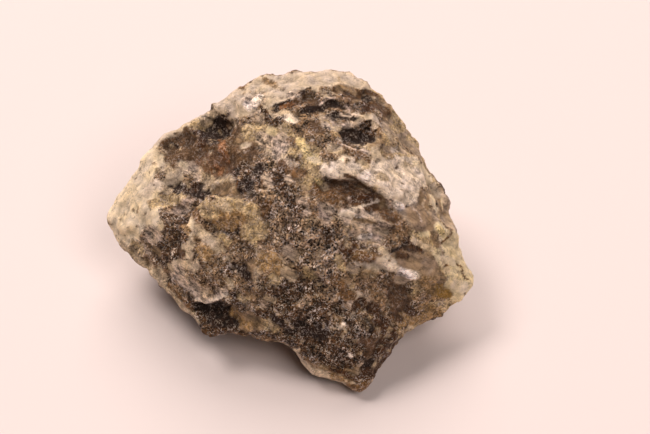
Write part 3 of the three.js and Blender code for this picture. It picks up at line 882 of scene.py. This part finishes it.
crooked = add(tree, "TexNoise", {"Vector": place, "Scale": 1 / WAVE, "Detail": 2.0})
crooked = add(tree, "VectorMath", {0: crooked.outputs["Color"], 1: MIDDLE}, operation="SUBTRACT")
crooked = add(tree, "VectorMath", {0: crooked.outputs[0], "Scale": CROOKEDNESS}, operation="SCALE")
crooked = add(tree, "VectorMath", {0: place, 1: crooked.outputs[0]}, operation="ADD").outputs[0]
knots = add(tree, "TexVoronoi", {"Vector": crooked, "Scale": 1 / KNOT}).outputs["Color"]
crystals = add(tree, "TexVoronoi", {"Vector": crooked, "Scale": 1 / CRYSTAL}).outputs["Color"]
knot_draw = add(tree, "SeparateColor", {0: knots}).outputs[0]
shade_draw, speck_draw, glass_draw = add(tree, "SeparateColor", {0: crystals}).outputs
mottle = add(tree, "TexNoise", {"Vector": place, "Scale": 1 / MOTTLE, "Detail": 8.0, "Roughness": 0.75})
light = add(tree, "Math", {0: knot_draw, 1: KNOT_SHADE, 2: 0.0}, operation="MULTIPLY_ADD")
light = add(tree, "Math", {0: shade_draw, 1: CRYSTAL_SHADE, 2: light.outputs[0]}, operation="MULTIPLY_ADD")
light = add(tree, "Math", {0: mottle.outputs[0], 1: MOTTLE_SHADE, 2: light.outputs[0]},
            operation="MULTIPLY_ADD").outputs[0]
spread = add(tree, "MapRange", {"Value": light, "From Min": 0.35, "From Max": 1.05,
                                "To Min": -0.25, "To Max": 2.5})
spread = add(tree, "Math", {0: spread.outputs[0], 1: 1.0}, operation="SUBTRACT")
spread = add(tree, "Math", {0: spread.outputs[0], 1: graininess, 2: 1.0}, operation="MULTIPLY_ADD")

# Frosted feldspar is silky: pale and dark streaks run along its cleavage, down to the right in the camera's
# frame.
STREAK = (5 * MM, 1 * MM, 1 * MM)  # along, and across both ways
STREAK_WAY = camera_turn @ Vector((1, -0.45, 0))
streak_turn = STREAK_WAY.to_track_quat("X", "Z").to_euler()
lengthwise = add(tree, "Mapping", {"Vector": place, "Rotation": streak_turn, "Scale": STREAK},
                 vector_type="TEXTURE").outputs[0]
streaks = add(tree, "TexNoise", {"Vector": lengthwise, "Scale": 1.0, "Detail": 4.0, "Roughness": 0.65,
                                 "Distortion": 0.4}).outputs[0]
streaks = add(tree, "MapRange", {"Value": streaks, "From Min": 0.42, "From Max": 0.58,
                                 "To Min": -0.6, "To Max": 0.8})
spread = add(tree, "Math", {0: streaks.outputs[0], 1: streakiness, 2: spread.outputs[0]},
             operation="MULTIPLY_ADD")
colour = add(tree, "VectorMath", {0: painted.outputs["Color"], "Scale": spread.outputs[0]},
             operation="SCALE")

# Pale broken hairs are painted glints: painted highlights where light catches the crystals' edges. Real ones
# are a few hundredths of a millimetre wide. They are drawn coarser, or they wouldn't show. A Mix node takes
# its colours in sockets 6 and 7, and gives output 2.
HAIR_SIZE = 0.7 * MM  # of their loops
HAIR_WIDTH = 0.06  # as a share of the noise that draws them
HAIR_GAPS = 0.4  # the share of the crystals where they are broken off
PAINTED_GLINT = "e4d9d3"
hairs = add(tree, "TexNoise", {"Vector": crooked, "Scale": 1 / HAIR_SIZE, "Detail": 1.0}).outputs[0]
hair = add(tree, "MapRange", {"Value": mottle.outputs[0], "From Min": 0.4, "From Max": 0.6, "To Max": 0.9})
hair = add(tree, "Math", {0: hair.outputs[0], 1: graininess}, operation="MULTIPLY")
line = add(tree, "Math", {0: hairs, 1: 0.5, 2: HAIR_WIDTH}, operation="COMPARE")
hair = add(tree, "Math", {0: hair.outputs[0], 1: line.outputs[0]}, operation="MULTIPLY")
unbroken = add(tree, "Math", {0: glass_draw, 1: HAIR_GAPS}, operation="GREATER_THAN")
hair = add(tree, "Math", {0: hair.outputs[0], 1: unbroken.outputs[0]}, operation="MULTIPLY")
colour = add(tree, "Mix", {0: hair.outputs[0], 6: colour.outputs[0], 7: (*linear(PAINTED_GLINT), 1)},
             data_type="RGBA")

# One crystal in five is a dark grain of pyroxene where the rock is grainy.
PYROXENE_GRAIN = "2a190e"
speck = add(tree, "MapRange", {"Value": speck_draw, "From Min": 0.8, "From Max": 0.82, "To Max": 0.6})
speck = add(tree, "Math", {0: speck.outputs[0], 1: graininess}, operation="MULTIPLY")
colour = add(tree, "Mix", {0: speck.outputs[0], 6: colour.outputs[2], 7: (*linear(PYROXENE_GRAIN), 1)},
             data_type="RGBA")

# The feldspar drifts from straw to grey.
TINT_SIZE = 3.5 * MM
STRAW_TINT = (1.06, 0.99, 0.84, 1)
GREY_TINT = (1.0, 0.98, 1.0, 1)
tint = add(tree, "TexNoise", {"Vector": place, "Scale": 1 / TINT_SIZE, "Detail": 3.0})
tint = add(tree, "MapRange", {"Value": tint.outputs[0], "From Min": 0.35, "From Max": 0.65})
tint = add(tree, "Mix", {0: tint.outputs[0], 6: STRAW_TINT, 7: GREY_TINT}, data_type="RGBA")
colour = add(tree, "VectorMath", {0: colour.outputs[2], 1: tint.outputs[2]}, operation="MULTIPLY")

# Hairline cracks wander through all of it, darker by four tenths. They too are drawn coarser than real ones.
CRACK_SIZE = 5 * MM  # of their loops
CRACK_WIDTH = 0.006  # as a share of the noise that draws them
cracks = add(tree, "TexNoise", {"Vector": crooked, "Scale": 1 / CRACK_SIZE, "Detail": 4.0, "Roughness": 0.5})
crack = add(tree, "Math", {0: cracks.outputs[0], 1: 0.5, 2: CRACK_WIDTH}, operation="COMPARE")
crack = add(tree, "Math", {0: crack.outputs[0], 1: -0.4, 2: 1.0}, operation="MULTIPLY_ADD")
colour = add(tree, "VectorMath", {0: colour.outputs[0], "Scale": crack.outputs[0]}, operation="SCALE")

# Crests are worn paler, and cavities are darkened with painted shade and dirt.
wear_and_painted_shade = add(tree, "MapRange", {"Value": proudness, "To Min": 0.7, "To Max": 1.3})
colour = add(tree, "VectorMath", {0: colour.outputs[0], "Scale": wear_and_painted_shade.outputs[0]}, operation="SCALE")
tree.links.new(colour.outputs[0], shader.inputs["Base Color"])

# One crystal in ten broke along its cleavage and shines a little more.
shine = add(tree, "MapRange", {"Value": glass_draw, "From Min": 0.88, "From Max": 0.9, "To Max": -0.4})
shine = add(tree, "Math", {0: shine.outputs[0], 1: graininess, 2: roughness}, operation="MULTIPLY_ADD")
tree.links.new(shine.outputs[0], shader.inputs["Roughness"])

# Each crystal and each knot faces its own way, so each catches the light at its own strength.
CRYSTAL_TILT = (1.2, 1.2, 1.2)
BUMP_HEIGHT = 0.2 * MM
tilt = add(tree, "VectorMath", {0: crystals, 1: MIDDLE}, operation="SUBTRACT")
tilt = add(tree, "VectorMath", {0: tilt.outputs[0], 1: CRYSTAL_TILT, 2: knots}, operation="MULTIPLY_ADD")
tilt = add(tree, "VectorMath", {0: tilt.outputs[0], 1: MIDDLE}, operation="SUBTRACT")
tilt = add(tree, "VectorMath", {0: tilt.outputs[0], "Scale": graininess}, operation="SCALE")
facets = add(tree, "VectorMath", {0: tilt.outputs[0], 1: add(tree, "NewGeometry").outputs["Normal"]},
             operation="ADD")
facets = add(tree, "VectorMath", {0: facets.outputs[0]}, operation="NORMALIZE")
rise = add(tree, "Math", {0: light, 1: graininess}, operation="MULTIPLY")
bump = add(tree, "Bump", {"Strength": 0.7, "Distance": BUMP_HEIGHT, "Height": rise.outputs[0],
                          "Normal": facets.outputs[0]})
tree.links.new(bump.outputs[0], shader.inputs["Normal"])
shader.inputs["IOR"].default_value = 1.56
shader.inputs["Specular IOR Level"].default_value = 0.22

stone.data.materials.clear()
stone.data.materials.append(rock)
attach(stone, "root")
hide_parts("labradorite_stone")

# ---- The table and the light ----
# A plain table top in matt pale paint, lit by three soft boxes round it and by the pale room.

TABLE_SIDE = 2.0
bpy.ops.object.select_all(action="DESELECT")
bpy.ops.mesh.primitive_plane_add(size=TABLE_SIDE)
floor = bpy.context.object
floor.name = "table_top"
paint = bpy.data.materials.new("matt pale paint")
paint.use_nodes = True
coating = paint.node_tree.nodes["Principled BSDF"]
coating.inputs["Base Color"].default_value = (*linear("e9e0e0"), 1)
coating.inputs["Roughness"].default_value = 0.9
coating.inputs["Specular IOR Level"].default_value = 0.05
floor.data.materials.append(paint)

WARM_WHITE = (1.0, 0.87, 0.8)
SOFT_BOXES = {  # elevation and azimuth in degrees, side in metres, power in watts
    "high back": (46, 90, 1.5, 41.5),
    "back left": (58, 150, 0.9, 31.5),
    "front right": (55, 315, 1.4, 24.0),
}
BOX_DISTANCE = 2.4
for name, (elevation, azimuth, side, power) in SOFT_BOXES.items():
    climb = math.radians(elevation)
    turn = math.radians(azimuth)
    way = Vector((math.cos(climb) * math.cos(turn), math.cos(climb) * math.sin(turn), math.sin(climb)))
    bpy.ops.object.light_add(type="AREA", location=way * BOX_DISTANCE)
    lamp = bpy.context.object
    lamp.name = name + " soft box"
    lamp.rotation_euler = way.to_track_quat("Z", "Y").to_euler()
    lamp.data.size = side
    lamp.data.energy = power
    lamp.data.color = WARM_WHITE

# The room gives the stone little light, and looks almost white itself.
ROOM_LIGHT = 0.045
ROOM_SEEN = 0.95
room = bpy.data.worlds.new("pale room")
bpy.context.scene.world = room
room.use_nodes = True
backdrop = room.node_tree.nodes["Background"]
backdrop.inputs["Color"].default_value = (*WARM_WHITE, 1)
seen = add(room.node_tree, "LightPath").outputs["Is Camera Ray"]
strength = add(room.node_tree, "MapRange", {"Value": seen, "To Min": ROOM_LIGHT, "To Max": ROOM_SEEN})
room.node_tree.links.new(strength.outputs[0], backdrop.inputs["Strength"])
bpy.context.scene.view_settings.view_transform = "Standard"
